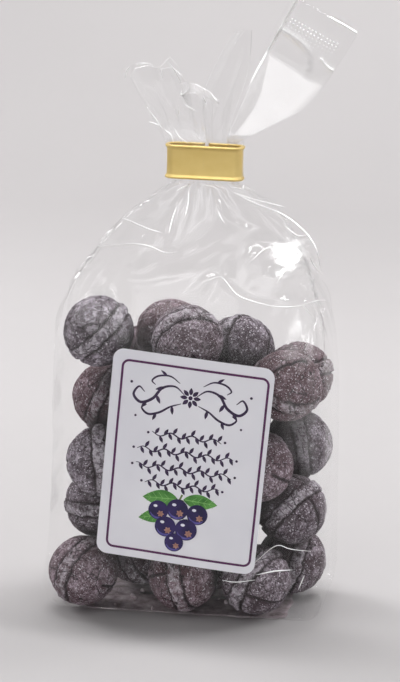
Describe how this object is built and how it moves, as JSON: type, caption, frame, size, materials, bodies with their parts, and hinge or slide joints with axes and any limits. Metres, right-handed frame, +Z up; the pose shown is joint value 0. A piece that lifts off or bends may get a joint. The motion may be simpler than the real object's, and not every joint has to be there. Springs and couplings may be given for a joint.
{
  "type": "bag of boiled sweets",
  "caption": "Clear block-bottom film bag of round sugar-dusted boiled sweets, its gathered neck closed by a flat metal clip, with a tilted paper label on the front.",
  "frame": {"origin": "middle of the flat block bottom that the bag stands on", "axes": "+Z up along the bag's height, +X to the right and -Y to the front, where the label is"},
  "size_m": [0.0796, 0.0435, 0.1595],
  "materials": {
    "film": "clear glossy film with creases and gathers",
    "clip": "satin gold-lacquered strip metal",
    "label": "smooth coated paper with a thin dark border and a small printed berry motif",
    "sweet": "hard boiled sugar, dark plum, dusted with fine sugar"
  },
  "bodies": {
    "root": {"film_bag": "film", "neck_clip": "clip", "front_label": "label", "sweet_01": "sweet", "sweet_02": "sweet", "sweet_03": "sweet", "sweet_04": "sweet", "sweet_05": "sweet", "sweet_06": "sweet", "sweet_07": "sweet", "sweet_08": "sweet", "sweet_09": "sweet", "sweet_10": "sweet", "sweet_11": "sweet", "sweet_12": "sweet", "sweet_13": "sweet", "sweet_14": "sweet", "sweet_15": "sweet", "sweet_16": "sweet", "sweet_17": "sweet", "sweet_18": "sweet", "sweet_19": "sweet", "sweet_20": "sweet", "sweet_21": "sweet", "sweet_22": "sweet", "sweet_23": "sweet", "sweet_24": "sweet", "sweet_25": "sweet", "sweet_26": "sweet", "sweet_27": "sweet", "sweet_28": "sweet"}
  },
  "joints": []
}
